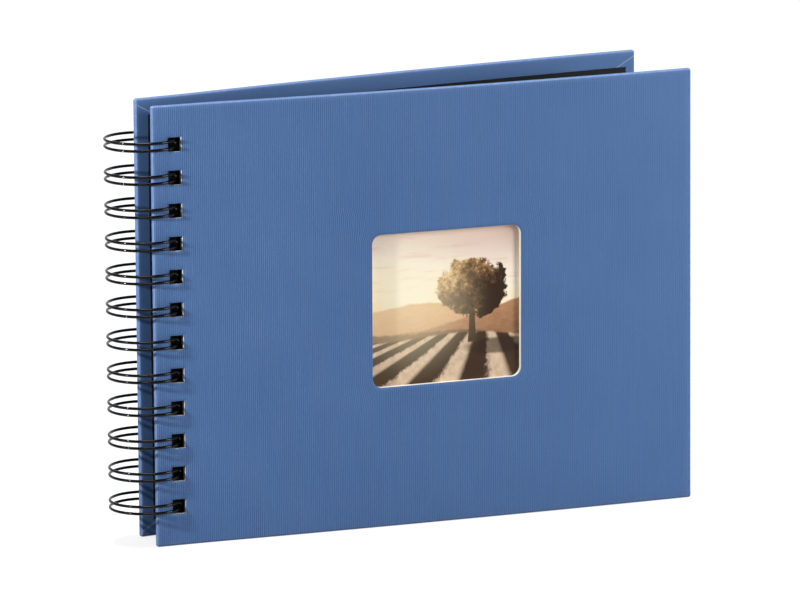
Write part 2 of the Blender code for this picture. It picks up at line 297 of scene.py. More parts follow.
@dataclass(frozen=True)
class LinenPaper:
    """Blue covering paper with fine pressed ribs that run up the cover.

    Its sheet is as wide and high as the cover's face, and goes on over the edges by the fold
    before it lies on the inside. There each side strip laps over the end strips along a line
    that starts below the corner and slopes away from it.
    """

    width: float
    height: float
    fold: float
    colour: Colour = (0.067, 0.143, 0.320)
    # The furrow colour is painted shade in the ribs' valleys and the crest colour a painted
    # highlight on their crests; both stand in for light falling on the relief.
    furrow_shade: Colour = (0.020, 0.070, 0.222)
    crest: Colour = (0.128, 0.232, 0.438)
    # Paler colour of the rolled edges and the lap seam: partly real wear, partly a painted
    # highlight where the edges catch the light.
    wear_and_highlight: Colour = (0.28, 0.34, 0.49)
    core: Colour = (0.70, 0.72, 0.70)
    lap_start: float = 0.0020
    lap_slope: float = 0.55
    rib_pitch: float = 0.000775
    rib_depth: float = 0.00004

    def material(self) -> bpy.types.Material:
        """Build the paper.

        Returns:
            Its material.
        """
        graph = Graph(Slot.PAPER.value)
        sheet = graph.sheet()
        across = graph.part(sheet, "X")
        past_x = (across - self.width / 2).apply("ABSOLUTE") - self.width / 2
        past_y = ((graph.part(sheet, "Y") - self.height / 2).apply("ABSOLUTE")
                  - self.height / 2)
        inside = past_x.apply("MAXIMUM", past_y).step(self.fold, self.fold + 0.0008)
        wander = graph.noise(graph.stretch(sheet, 220.0, 16.0), 1.0, 2.0) - 0.5
        phase = (across + wander * (0.45 * self.rib_pitch)) * (2.0 * math.pi / self.rib_pitch)
        wave = phase.apply("SINE") * 0.5 + 0.5
        streak = graph.noise(graph.stretch(sheet, 1300.0, 40.0), 1.0, 3.0, 0.6)
        broken = graph.noise(graph.stretch(sheet, 1100.0, 500.0), 1.0, 2.0)
        patch = graph.noise(sheet, 38.0, 2.0).step(0.30, 0.70)
        faded = 1.0 - across.step(0.0, self.width) * 0.40
        strength = (broken.step(0.30, 0.70) * 0.45 + 0.32 + patch * 0.32) * faded * (
            1.0 - inside * 0.55)
        relief = (wave - 0.5) * strength + streak * 0.30 + 0.40
        cloud = graph.noise(sheet, 28.0, 3.0)
        speck = graph.noise(sheet, 2600.0, 2.0)
        shade = relief + (speck - 0.5) * 0.45 + (cloud - 0.5) * 0.25
        # Painted light and shade of the ribs: the face goes from the furrow colour to the crest
        # colour with the relief, mixed with random tone from the specks and clouds.
        face = graph.mix(shade.step(0.62, 1.25), graph.mix(
            shade.step(-0.08, 0.62), self.furrow_shade, self.colour), self.crest)
        # The rolled edges and a band beside them are painted paler: partly scuffed wear, partly
        # a painted highlight.
        scuffs = graph.noise(sheet, 420.0, 3.0, 0.7).step(0.42, 0.75)
        wear_and_highlight = graph.attribute("edge").step(0.0, 1.0) * (scuffs * 0.30 + 0.25)
        in_x = (past_x * -1.0).apply("MAXIMUM", past_x - self.fold)
        in_y = (past_y * -1.0).apply("MAXIMUM", past_y - self.fold)
        # A painted highlight along the line where the side strips lap over the end strips inside
        # the cover.
        lap = (in_y - in_x * self.lap_slope - self.lap_start).apply("ABSOLUTE")
        seam = lap.step(0.00042, 0.00014) * inside
        skin = graph.mix(wear_and_highlight.apply("MAXIMUM", seam * 0.6), face, self.wear_and_highlight)
        layer = graph.attribute("depth")
        cut = layer.step(0.10, 0.22) * layer.step(0.98, 0.86)
        fibre = graph.noise(graph.place(), 3000.0, 3.0) * 0.35 + 0.80
        base = graph.mix(cut, skin, graph.tint(self.core, fibre))
        normal = graph.bump(relief + speck * 0.25, self.rib_depth, 0.75)
        rough = 0.62 + streak * 0.12
        return graph.finish(Base_Color=base, Roughness=rough, Normal=normal,
                            Specular_IOR_Level=0.25)


@dataclass(frozen=True)
class CutBoard:
    """Pressed paper board whose cut edges show their layers."""

    colour: Colour = (0.74, 0.73, 0.66)
    seam: Colour = (0.34, 0.34, 0.30)

    def material(self) -> bpy.types.Material:
        """Build the board.

        Returns:
            Its material.
        """
        graph = Graph(Slot.BOARD.value)
        place = graph.place()
        layer = graph.attribute("depth")
        fibre = graph.noise(place, 1500.0, 4.0, 0.65)
        coarse = graph.noise(graph.stretch(place, 300.0, 1800.0, 300.0), 1.0, 3.0)
        wobble = layer + (coarse - 0.5) * 0.06
        bands = (wobble * 46.0).apply("SINE") * 0.5 + 0.5
        face = graph.tint(self.colour, fibre * 0.30 + bands * 0.10 + 0.78)
        seam = wobble.step(0.30, 0.36) * wobble.step(0.47, 0.40)
        wall = graph.mix(seam * 0.75, face, self.seam)
        # Painted shade with some dust: the cut walls of the punched holes near the spine are
        # darkened to nearly black.
        spine = graph.part(graph.sheet(), "X").step(0.018, 0.016) * layer.step(0.15, 0.40)
        base = graph.mix(spine * 0.85, wall, (0.04, 0.04, 0.04))
        normal = graph.bump(fibre + bands * 0.4, 0.00006, 0.8)
        return graph.finish(Base_Color=base, Roughness=0.80 + fibre * 0.15, Normal=normal,
                            Specular_IOR_Level=0.25)


@dataclass(frozen=True)
class Card:
    """Black card, as lining paper or as leaves."""

    slot: Slot
    colour: Colour
    grain: float = 900.0
    relief: float = 0.00003

    def material(self) -> bpy.types.Material:
        """Build the card.

        Returns:
            Its material.
        """
        graph = Graph(self.slot.value)
        place = graph.place()
        fibre = graph.noise(graph.stretch(place, 1.0, 1.0, 0.35), self.grain, 4.0, 0.65)
        cloud = graph.noise(place, 35.0, 3.0)
        lint = graph.noise(place, self.grain * 2.2, 2.0, 0.8).step(0.66, 0.80)
        face = graph.tint(self.colour, fibre * 0.7 + cloud * 0.3 + 0.5)
        base = graph.mix(lint * 0.12, face, (0.06, 0.06, 0.065))
        normal = graph.bump(fibre, self.relief, 0.9)
        return graph.finish(Base_Color=base, Roughness=0.68 + cloud * 0.2, Normal=normal,
                            Specular_IOR_Level=0.15)


@dataclass(frozen=True)
class CoatedWire:
    """Glossy black plastic coating on steel wire."""

    colour: Colour = (0.0015, 0.0015, 0.0017)

    def material(self) -> bpy.types.Material:
        """Build the coating.

        Returns:
            Its material.
        """
        graph = Graph(Slot.WIRE.value)
        place = graph.place()
        ripple = graph.noise(place, 700.0, 3.0)
        dust = graph.noise(place, 2400.0, 2.0, 0.7).step(0.62, 0.78)
        base = graph.mix(dust * 0.15, self.colour, (0.012, 0.011, 0.011))
        rough = 0.055 + ripple * 0.03 + dust * 0.05
        normal = graph.bump(ripple, 0.00002, 0.5)
        return graph.finish(Base_Color=base, Roughness=rough, Normal=normal,
                            Specular_IOR_Level=0.16)


def far_from(across: Signal, up: Signal) -> Signal:
    """Distance that two coordinates make."""
    return (across * across + up * up).apply("SQRT")


@dataclass(frozen=True)
class Canvas:
    """The picture's nodes, its place and that place's coordinates, -1 to 1 in the window."""

    graph: Graph
    sheet: Signal
    x: Signal
    y: Signal


@dataclass(frozen=True)
class DuskPrint:
    """Satin print of ploughed hills at dusk with one round tree, drawn with plain shapes."""

    centre: tuple[float, float]
    half: float
    sun_x: float = -0.46
    sun_y: float = 0.06

    def material(self) -> bpy.types.Material:
        """Draw the picture on the sheet's map, with both axes from -1 to 1 in the window.

        Returns:
            Its material.
        """
        graph = Graph(Slot.PRINT.value)
        sheet = graph.node("ShaderNodeMapping", {"vector_type": "TEXTURE"}, {
            "Vector": graph.sheet(),
            "Location": (*self.centre, 0.0),
            "Scale": (self.half, self.half, 1.0),
        })
        x = graph.part(sheet, "X")
        y = graph.part(sheet, "Y")
        canvas = Canvas(graph, sheet, x, y)
        picture = self._sky(canvas)
        for layer in (*DUSK_HILLS, PLOUGHED_FIELD, DUSK_TREE):
            picture = layer.over(canvas, picture)
        flare = self._from_sun(canvas).step(1.15, 0.0)
        picture = graph.mix(flare * 0.42, picture, (1.0, 0.86, 0.56))
        picture = graph.mix((x * x + y * y).step(0.9, 2.4) * 0.40, picture, (0.16, 0.09, 0.05))
        grain = graph.noise(sheet, 160.0, 2.0) * 0.08 + 0.96
        base = graph.tint(picture, grain)
        normal = graph.bump(graph.noise(sheet, 60.0, 2.0), 0.00001, 0.4)
        rough = 0.30 + graph.noise(sheet, 9.0, 2.0) * 0.08
        return graph.finish(Base_Color=base, Roughness=rough, Normal=normal,
                            Specular_IOR_Level=0.12)

    def _from_sun(self, canvas: Canvas) -> Signal:
        """Distance from the low sun."""
        return far_from(canvas.x - self.sun_x, canvas.y - self.sun_y)

    def _sky(self, canvas: Canvas) -> Signal:
        """Evening sky: bands from the horizon up, the low sun's glow and long thin clouds."""
        graph, x, y = canvas.graph, canvas.x, canvas.y
        sky = graph.node("ShaderNodeValToRGB", {"stops": [
            (0.00, (0.93, 0.60, 0.28)), (0.22, (0.98, 0.82, 0.52)),
            (0.50, (0.97, 0.86, 0.72)), (1.00, (0.70, 0.50, 0.42)),
        ]}, {0: y * 0.75 + 0.15 + x * 0.16}, "Color")
        lit = graph.mix(self._from_sun(canvas).step(0.85, 0.02), sky, (1.0, 0.95, 0.78))
        streaks = graph.noise(graph.stretch(canvas.sheet, 1.1, 8.0), 1.3, 4.0, 0.6)
        thin = streaks.step(0.50, 0.72) * y.step(-0.05, 0.45)
        return graph.mix(thin * 0.55, lit, (0.78, 0.52, 0.42))


@dataclass(frozen=True)
class Hill:
    """One ridge of the picture: a long wave with rough ground under it."""

    level: float
    slope: float
    swell: float
    phase: float
    pitch: float
    crest: Colour
    foot: Colour
    texture: float

    def over(self, canvas: Canvas, under: Signal) -> Signal:
        """Lay the ridge over the picture.

        Ridge height is level + slope * x + swell * sin(pitch * x + phase), roughened by noise.

        Args:
            canvas: The picture's nodes and coordinates.
            under: The picture so far.

        Returns:
            The picture with the ridge on it.
        """
        graph, sheet, x, y = canvas.graph, canvas.sheet, canvas.x, canvas.y
        rough = graph.noise(graph.stretch(sheet, 1.0, 0.6), self.texture, 4.0, 0.6) - 0.5
        line = (x * self.pitch + self.phase).apply("SINE") * self.swell + x * self.slope
        below = line + rough * 0.10 + self.level - y
        ground = graph.noise(graph.stretch(sheet, 1.0, 3.0), self.texture * 2.0, 5.0, 0.65)
        depth = (below * 1.6 + (ground - 0.5) * 1.3).apply("MAXIMUM", 0.0).apply("MINIMUM", 1.0)
        colour = graph.mix(depth, self.crest, self.foot)
        return graph.mix(below.step(-0.012, 0.02), under, colour)


@dataclass(frozen=True)
class Furrows:
    """Ploughed rows that run towards one point on the horizon."""

    aim_x: float = 0.55
    aim_y: float = -0.02
    level: float = -0.40
    rows: float = 8.5
    soil: Colour = (0.050, 0.026, 0.014)
    ridge: Colour = (0.74, 0.55, 0.38)

    def over(self, canvas: Canvas, under: Signal) -> Signal:
        """Lay the field over the picture.

        A row's number is rows * (x - aim x) / (aim y - y), and its light side is where the
        sine of that number is high.

        Args:
            canvas: The picture's nodes and coordinates.
            under: The picture so far.

        Returns:
            The picture with the field on it.
        """
        graph, sheet, x, y = canvas.graph, canvas.sheet, canvas.x, canvas.y
        clods = graph.noise(sheet, 11.0, 5.0, 0.7) - 0.5
        edge = (x * 2.1 + 0.7).apply("SINE") * 0.07 - x * 0.06 + self.level + clods * 0.05
        down = (y * -1.0 + self.aim_y).apply("MAXIMUM", 0.08)
        number = (x - self.aim_x) / down * self.rows + clods * 1.6
        light = (number.apply("SINE") + clods * 0.9).step(-0.25, 0.75)
        field = graph.mix(light, self.soil, graph.tint(self.ridge, clods * 0.9 + 0.9))
        return graph.mix((edge - y).step(-0.01, 0.03), under, field)


@dataclass(frozen=True)
class RoundTree:
    """A broad round crown on a short trunk, lit from its left."""

    x: float = 0.36
    y: float = 0.20
    radius: float = 0.47
    trunk: float = 0.040
    foot: float = -0.50

    def over(self, canvas: Canvas, under: Signal) -> Signal:
        """Lay the tree over the picture.

        The crown is where the distance from its middle, roughened by noise, is under its
        radius; the trunk widens towards the ground, and a long shadow lies beside it.

        Args:
            canvas: The picture's nodes and coordinates.
            under: The picture so far.

        Returns:
            The picture with the tree on it.
        """
        graph, sheet, x, y = canvas.graph, canvas.sheet, canvas.x, canvas.y
        from_x = x - self.x
        from_y = (y - self.y) * 1.22
        leaves = graph.noise(sheet, 13.0, 6.0, 0.72)
        clumps = graph.noise(sheet, 3.6, 2.0)
        edge = far_from(from_x, from_y) + (leaves - 0.5) * 0.26 + (clumps - 0.5) * 0.40
        crown = edge.step(self.radius + 0.012, self.radius - 0.02)
        down = (y * -1.0 + self.y - 0.30).apply("MAXIMUM", 0.0)
        width = down * down * 0.16 + self.trunk - from_x.apply("ABSOLUTE")
        reach = (y - self.foot).step(-0.01, 0.02) * (y * -1.0 + self.y).step(0.0, 0.02)
        trunk = width.step(-0.004, 0.008) * reach
        shade_x = from_x - 0.42
        shade_y = (y - self.foot + 0.06) * 5.0
        shadow = far_from(shade_x, shade_y).step(0.62, 0.40)
        ground = graph.mix(shadow * 0.75, under, (0.030, 0.017, 0.011))
        lit = (from_y * 0.75 - from_x * 0.95 + (leaves - 0.5) * 1.7 + (clumps - 0.5) * 1.2
               + 0.30).step(0.0, 1.0)
        foliage = graph.node("ShaderNodeValToRGB", {"stops": [
            (0.0, (0.035, 0.017, 0.008)), (0.40, (0.16, 0.080, 0.032)),
            (0.72, (0.44, 0.26, 0.11)), (1.0, (0.84, 0.60, 0.30)),
        ]}, {0: lit}, "Color")
        bark = graph.tint((0.060, 0.031, 0.016), leaves * 1.2 + 0.4)
        with_trunk = graph.mix(trunk, ground, bark)
        return graph.mix(crown, with_trunk, foliage)


DUSK_TREE = RoundTree()
PLOUGHED_FIELD = Furrows()
DUSK_HILLS = (
    Hill(-0.01, 0.05, 0.08, 2.6, 2.3, (0.76, 0.47, 0.24), (0.58, 0.32, 0.18), 2.5),
    Hill(-0.17, 0.14, 0.08, 5.2, 1.9, (0.46, 0.24, 0.12), (0.20, 0.10, 0.055), 4.0),
    Hill(-0.36, -0.10, 0.06, 0.9, 2.6, (0.22, 0.115, 0.06), (0.09, 0.048, 0.026), 6.0),
)


# --- Sheets ---

class Sides(Enum):
    """Which way a grid's faces point."""

    FRONT = 0
    BACK = 1


def near_first(rounding: float) -> np.ndarray:
    """Lines over a rounding at equal angles, from a box's edge inwards.

    Line k of n lies at rounding * (1 - tan(45 degrees * (1 - k / n))) from the edge.
    """
    angles = np.radians(45.0) * (1.0 - np.arange(ROUNDING_STEPS + 1) / ROUNDING_STEPS)
    return rounding * (1.0 - np.tan(angles))


def merged(*groups: np.ndarray) -> np.ndarray:
    """All the lines of the groups in order, each once."""
    lines = np.sort(np.concatenate([np.atleast_1d(group) for group in groups]))
    return lines[np.concatenate(([True], np.diff(lines) > LINE_GAP))]


def grid(first: np.ndarray, second: np.ndarray) -> list[np.ndarray]:
    """Two sets of lines crossed, as rows x columns each."""
    return np.meshgrid(first, second, indexing="ij")


def cells(first: np.ndarray, second: np.ndarray) -> list[np.ndarray]:
    """Middles of the cells between two sets of lines."""
    return grid((first[1:] + first[:-1]) / 2, (second[1:] + second[:-1]) / 2)


class Skin:
    """An open surface gathered from grids, with places as reach, depth and height."""

    def __init__(self) -> None:
        """Start with nothing."""
        self.points: list[np.ndarray] = []
        self.maps: list[np.ndarray] = []
        self.corners: list[np.ndarray] = []
        self.count = 0

    def add(self, points: np.ndarray, sheet: np.ndarray, side: Sides,
            keep: np.ndarray | None = None) -> None:
        """Add one grid.

        Faces point along (second direction) x (first direction) of the grid for FRONT, and
        the other way for BACK.

        Args:
            points: Places, as rows x columns x 3.
            sheet: Places on the flat sheet, as rows x columns x 2.
            side: Which way the faces point.
            keep: Which cells have a face, or None for all.
        """
        rows, columns = points.shape[:2]
        number = np.arange(rows * columns).reshape(rows, columns)
        corner = np.stack([number[:-1, :-1], number[1:, :-1], number[1:, 1:],
                           number[:-1, 1:]], axis=-1)
        if keep is not None:
            corner = corner[keep]
        corner = corner.reshape(-1, 4)
        if side is Sides.BACK:
            corner = corner[:, ::-1]
        self.points.append(points.reshape(-1, 3))
        self.maps.append(sheet.reshape(-1, 2))
        self.corners.append(corner + self.count)
        self.count += rows * columns

    def welded(self) -> tuple[np.ndarray, np.ndarray, np.ndarray]:
        """Join the grids where their points meet.

        Returns:
            Points, triangles as numbers of points, and the sheet place of each triangle's
            corners.
        """
        points = np.concatenate(self.points)
        sheet = np.concatenate(self.maps)
        quads = np.concatenate(self.corners)
        triangles = np.concatenate([quads[:, [0, 1, 2]], quads[:, [0, 2, 3]]])
        keys = np.round(points / POINT_GAP).astype(np.int64)
        _, first, same = np.unique(keys, axis=0, return_index=True, return_inverse=True)
        same = same.reshape(-1)
        joined = same[triangles]
        whole = ((joined[:, 0] != joined[:, 1]) & (joined[:, 1] != joined[:, 2])
                 & (joined[:, 2] != joined[:, 0]))
        used, compact = np.unique(joined[whole], return_inverse=True)
        return (points[first][used], compact.reshape(-1, 3),
                sheet[triangles[whole]])


def plate(x: np.ndarray, y: np.ndarray, z: np.ndarray, keep: np.ndarray | None = None
          ) -> Skin:
    """One grid that faces outwards, whose place on the flat sheet is its own (x, z)."""
    skin = Skin()
    skin.add(np.stack([x, y, z], -1), np.stack([x, z], -1), Sides.FRONT, keep)
    return skin


def point_normals(points: np.ndarray, triangles: np.ndarray) -> np.ndarray:
    """Unit normal at each point: the sum of its triangles' normals, weighted by area."""
    first, second, third = (points[triangles[:, k]] for k in range(3))
    across = np.cross(second - first, third - first)
    total = np.zeros_like(points)
    for k in range(3):
        np.add.at(total, triangles[:, k], across)
    length = np.linalg.norm(total, axis=1, keepdims=True)
    return total / np.maximum(length, TINY * TINY)


@dataclass
class Sheet:
    """A skin given a thickness, ready to be put in its place."""

    points: np.ndarray
    triangles: np.ndarray
    sheet: np.ndarray
    depth: np.ndarray
    edge: np.ndarray

    @classmethod
    def thickened(cls, skin: Skin, thickness: float, edge: np.ndarray | None = None
                  ) -> "Sheet":
        """Close a skin into a solid.

        The back is the skin moved inwards along its normals; along each open edge a strip
        of faces joins the two.

        Args:
            skin: The open surface.
            thickness: How far the back lies behind it.
            edge: Function from points to how rounded the surface is there, or None.

        Returns:
            The closed sheet.
        """
        points, triangles, sheet = skin.welded()
        count = len(points)
        back = points - thickness * point_normals(points, triangles)
        starts = triangles.reshape(-1)
        ends = triangles[:, [1, 2, 0]].reshape(-1)
        open_edge = ~np.isin(starts * count + ends, ends * count + starts)
        a, b = starts[open_edge], ends[open_edge]
        map_a = sheet.reshape(-1, 2)[open_edge]
        map_b = sheet[:, [1, 2, 0]].reshape(-1, 2)[open_edge]
        rim = np.concatenate([np.stack([b, a, a + count], 1),
                              np.stack([b, a + count, b + count], 1)])
        rim_map = np.concatenate([np.stack([map_b, map_a, map_a], 1),
                                  np.stack([map_b, map_a, map_b], 1)])
        rounded = np.zeros(count) if edge is None else edge(points)
        return cls(
            np.concatenate([points, back]),
            np.concatenate([triangles, triangles[:, ::-1] + count, rim]),
            np.concatenate([sheet, sheet[:, ::-1], rim_map]),
            np.concatenate([np.zeros(count), np.ones(count)]),
            np.concatenate([rounded, np.zeros(count)]),
        )

    def mesh(self, name: str, mirrored: bool = False) -> bpy.types.Mesh:
        """Put the sheet into a mesh.

        Args:
            name: The mesh's name.
            mirrored: Whether its place turns it inside out, so that faces are reversed.

        Returns:
            The mesh, with the sheet's map and its depth and edge attributes.
        """
        triangles = self.triangles[:, ::-1] if mirrored else self.triangles
        sheet = self.sheet[:, ::-1] if mirrored else self.sheet
        mesh = bpy.data.meshes.new(name)
        mesh.from_pydata(self.points.tolist(), [], triangles.tolist())
        layer = mesh.uv_layers.new(name=SHEET_MAP)
        layer.data.foreach_set("uv", sheet.astype(np.float32).ravel())
        for key, values in (("depth", self.depth), ("edge", self.edge)):
            stored = mesh.attributes.new(key, "FLOAT", "POINT")
            stored.data.foreach_set("value", values.astype(np.float32))
        mesh.shade_smooth()
        mesh.set_sharp_from_angle(angle=math.radians(SMOOTH_ANGLE))
        mesh.update()
        return mesh


def add_piece(node: str, mesh: bpy.types.Mesh, finishes: Finishes, slot: Slot,
              body: str) -> None:
    """Make a mesh a piece that rides on a body and stands for a CAD node.

    Args:
        node: The node that it stands for. The piece bears its name with _look added.
        mesh: Its mesh, in the row frame.
        finishes: The materials by slot.
        slot: The slot of its finish.
        body: The body that it moves with.
    """
    mesh.materials.append(finishes[slot])
    piece = bpy.data.objects.new(f"{node}_look", mesh)
    bpy.context.scene.collection.objects.link(piece)
    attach(piece, body)
    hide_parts(node)
    LOG.info("%s: %d triangles on %s", piece.name, len(mesh.polygons), body)


# --- Covers ---

@dataclass
class Punching:
    """The row of square holes along the spine."""

    count: int = 12
    pitch: float = 0.0127
    width: float = 0.0054
    height: float = 0.0056
    from_edge: float = 0.0091
    cover_height: float = COVER_HEIGHT

    def middles(self) -> np.ndarray:
        """Heights of the holes' middles."""
        lowest = (self.cover_height - (self.count - 1) * self.pitch) / 2
        return lowest + np.arange(self.count) * self.pitch

    def distance(self, reach: np.ndarray, height: np.ndarray) -> np.ndarray:
        """Distance outside the nearest hole's edge, 0 on the edge and inside.

        Args:
            reach: Distances from the spine edge.
            height: Heights, of the same shape.

        Returns:
            The distances.
        """
        side = np.maximum(np.abs(reach - self.from_edge) - self.width / 2, 0.0)
        near = np.abs(height[..., None] - self.middles()).min(axis=-1)
        return np.hypot(side, np.maximum(near - self.height / 2, 0.0))

    def inside(self, reach: np.ndarray, height: np.ndarray) -> np.ndarray:
        """Which places lie in a hole."""
        return self.distance(reach, height) <= 0.0


@dataclass
class Window:
    """The opening with round corners in the front cover."""

    width: float = 0.0615
    height: float = 0.0597
    corner: float = 0.0038
    from_spine: float = 0.1187
    middle_height: float = 0.0846
    calm: float = 0.0120
    steps: int = 6
    inner_share: float = 0.7
    inner_lines: int = 7

    def lines(self, middle: float, size: float, rims: tuple[float, ...]) -> np.ndarray:
        """Grid lines along one axis: over both corners, at the edges and along the rims."""
        angles = np.radians(45.0) * np.arange(self.steps + 1) / self.steps
        corner = size / 2 - self.corner + self.corner * np.tan(angles)
        outside = size / 2 + np.array(rims)
        inner = np.linspace(-self.inner_share, self.inner_share, self.inner_lines)
        return middle + np.concatenate([corner, -corner, outside, -outside,
                                        inner * (size / 2 - self.corner)])

    def offsets(self, reach: np.ndarray, height: np.ndarray
                ) -> tuple[np.ndarray, np.ndarray, np.ndarray, np.ndarray]:
        """Places from the middles of the window's corner arcs.

        Args:
            reach: Distances from the spine edge.
            height: Heights.

        Returns:
            Signs of both axes, then distances past the arcs' middles along both.
        """
        x = reach - self.from_spine
        z = height - self.middle_height
        past_x = np.abs(x) - (self.width / 2 - self.corner)
        past_z = np.abs(z) - (self.height / 2 - self.corner)
        return np.sign(x), np.sign(z), past_x, past_z

    def rounded(self, reach: np.ndarray, height: np.ndarray
                ) -> tuple[np.ndarray, np.ndarray]:
        """Pull a square grid onto the round corners.

        In a corner, the point past the arc's middle by (a, b) goes to the circle of radius
        max(a, b) along the same direction. The pull fades out away from the window.

        Args:
            reach: Distances from the spine edge, on the grid.
            height: Heights, on the grid.

        Returns:
            Both, pulled.
        """
        sign_x, sign_z, past_x, past_z = self.offsets(reach, height)
        corner = (past_x > 0.0) & (past_z > 0.0)
        larger = np.maximum(past_x, past_z)
        length = np.maximum(np.hypot(past_x, past_z), TINY)
        fade = np.clip(1.0 - (larger - self.corner) / self.calm, 0.0, 1.0)
        pull = np.where(corner, (larger / length - 1.0) * fade, 0.0)
        return reach + sign_x * past_x * pull, height + sign_z * past_z * pull

    def distance(self, reach: np.ndarray, height: np.ndarray) -> np.ndarray:
        """Distance outside the opening's edge, 0 on the edge and inside."""
        _, _, past_x, past_z = self.offsets(reach, height)
        away = np.hypot(np.maximum(past_x, 0.0), np.maximum(past_z, 0.0))
        return np.maximum(away - self.corner, 0.0)

    def inside(self, reach: np.ndarray, height: np.ndarray) -> np.ndarray:
        """Which places of the square grid lie in the opening's own square."""
        _, _, past_x, past_z = self.offsets(reach, height)
        return np.maximum(past_x, past_z) < self.corner


@dataclass
class Cover:
    """A board wrapped in paper, with a lining sheet over the turned-in edges."""

    prefix: str
    mirrored: bool
    window: Window | None
    bow_low: float = 0.0014
    bow_high: float = 0.0030
    width: float = 0.2220
    height: float = COVER_HEIGHT
    wrapped: float = 0.0024
    thickness: float = 0.0028
    paper: float = 0.0003
    rounding: float = 0.0009
    turn_in: float = 0.0150
    lining: float = 0.0003
    lining_side: float = 0.0040
    lining_spine: float = 0.0040
    lining_end: float = 0.0064
    press: float = 0.00022
    press_width: float = 0.0011
    # How far from an edge the paler edge colour, partly wear and partly painted highlight, fades
    # out over the flat.
    wear_and_highlight_reach: float = 0.0022
    air: float = 0.00002
    edge_gap: float = 1e-4
    rims: tuple[float, ...] = (0.00022, 0.0006, 0.0011)
    window_rims: tuple[float, ...] = (0.0018, 0.0035)
    spine_lines: tuple[float, ...] = (0.0022, 0.0040, 0.0150, 0.0180)
    end_lines: tuple[float, ...] = (0.0025, 0.0050, 0.0085)
    open_start: float = 0.024
    open_end: float = 0.004
    open_lines: int = 22
    punching: Punching = field(default_factory=Punching)

    # Grid lines.

    def outline_lines(self, length: float) -> np.ndarray:
        """Lines over both rounded edges of a side this long."""
        near = near_first(self.rounding)
        return np.concatenate([near, length - near])

    def reach_lines(self) -> np.ndarray:
        """All grid lines along the cover."""
        rims = np.array((0.0,) + self.rims)
        hole = self.punching.from_edge
        half = self.punching.width / 2
        groups = [self.outline_lines(self.width), np.array(self.spine_lines),
                  hole - half - rims, hole + half + rims, hole + half * np.linspace(-1, 1, 5),
                  np.linspace(self.open_start, self.width - self.open_end, self.open_lines)]
        if self.window is not None:
            groups.append(self.window.lines(self.window.from_spine, self.window.width,
                                            self.rims + self.window_rims))
        return merged(*groups)

    def height_lines(self) -> np.ndarray:
        """All grid lines up the cover."""
        rims = np.array((0.0,) + self.rims)
        half = self.punching.height / 2
        middles = self.punching.middles()[:, None]
        edges = np.concatenate([half + rims, -half - rims, [-half / 2, 0.0, half / 2]])
        ends = np.array(self.end_lines)
        groups = [self.outline_lines(self.height), (middles + edges).ravel(),
                  (middles + self.punching.pitch / 2).ravel()[:-1], ends, self.height - ends]
        if self.window is not None:
            groups.append(self.window.lines(self.window.middle_height, self.window.height,
                                            self.rims))
        return merged(*groups)

    # Shape functions.

    def fold(self) -> float:
        """Length of paper over an edge, less what the face and the strip lose to it."""
        return self.wrapped - 4.0 * self.rounding * (1.0 - math.pi / 4.0)

    def unrolled(self, lines: np.ndarray, length: float) -> np.ndarray:
        """Length of paper up to each line, where the first and last lie on rounded edges.

        Over a rounding of radius r the paper's length is r times the angle turned.
        """
        r = self.rounding
        near = r - r * np.arctan((r - lines) / r)
        far = length - r + r * np.arctan((lines - length + r) / r)
        return np.where(lines < r, near, np.where(lines > length - r, far, lines))

    def folded(self, stage: int, lines: np.ndarray) -> np.ndarray:
        """Place on the sheet across an edge: 0 on the face, 1 on the side, 2 turned in."""
        start = self.rounding * (1.0 - math.pi / 4.0)
        if stage == 0:
            return self.unrolled(lines, self.width)
        if stage == 1:
            return 2.0 * start - self.unrolled(lines, self.wrapped)
        return 4.0 * start - self.wrapped - self.unrolled(lines, self.width)

    def _from_core(self, points: np.ndarray) -> tuple[np.ndarray, np.ndarray]:
        """Nearest points of the core box, which stands back by the rounding, and the rest."""
        core = np.clip(points, self.rounding, self._size() - self.rounding)
        return core, points - core

    def _size(self) -> np.ndarray:
        """Size of the wrapped board."""
        return np.array([self.width, self.wrapped, self.height])

    def softened(self, points: np.ndarray) -> np.ndarray:
        """Round a box's edges: each point goes to the rounding's radius from the core box."""
        core, out = self._from_core(points)
        length = np.linalg.norm(out, axis=-1, keepdims=True)
        return core + out * (self.rounding / np.maximum(length, TINY))

    def roundness(self, points: np.ndarray) -> np.ndarray:
        """How rounded the wrap is: 1 halfway over an edge and 0 where it is long flat."""
        out = np.abs(self._from_core(points)[1])
        share = out.max(axis=-1) / np.maximum(np.linalg.norm(out, axis=-1), TINY)
        away = np.sort(np.minimum(points, self._size() - points), axis=-1)[..., 1]
        # Near an edge the value also falls off over the flat, so that the paler edge colour
        # (partly wear, partly painted highlight) reaches past the rounding.
        soft = np.clip(1.0 - away / self.wear_and_highlight_reach, 0.0, 1.0) * 0.5
        return np.maximum(np.clip((1.0 - share) / (1.0 - math.sqrt(0.5)), 0.0, 1.0), soft)

    def pressed(self, reach: np.ndarray, height: np.ndarray) -> np.ndarray:
        """How far the punch and the die have pressed the face in, falling off squared."""
        away = self.punching.distance(reach, height)
        if self.window is not None:
            away = np.minimum(away, self.window.distance(reach, height))
        return self.press * np.clip(1.0 - away / self.press_width, 0.0, 1.0) ** 2

    def bow(self, reach: np.ndarray, height: np.ndarray) -> np.ndarray:
        """How far the cover has warped outwards.

        Past the punched holes it is a parabola across the cover, started softly, and its
        middle rises evenly from the low to the high end of the cover.
        """
        start = self.punching.from_edge + self.punching.width
        share = np.clip((reach - start) / (self.width - start), 0.0, 1.0)
        soft = share * share / (share * share + 0.004)
        middle = self.bow_low + (self.bow_high - self.bow_low) * height / self.height
        return 4.0 * share * (1.0 - share) * soft * middle

    # Skins.

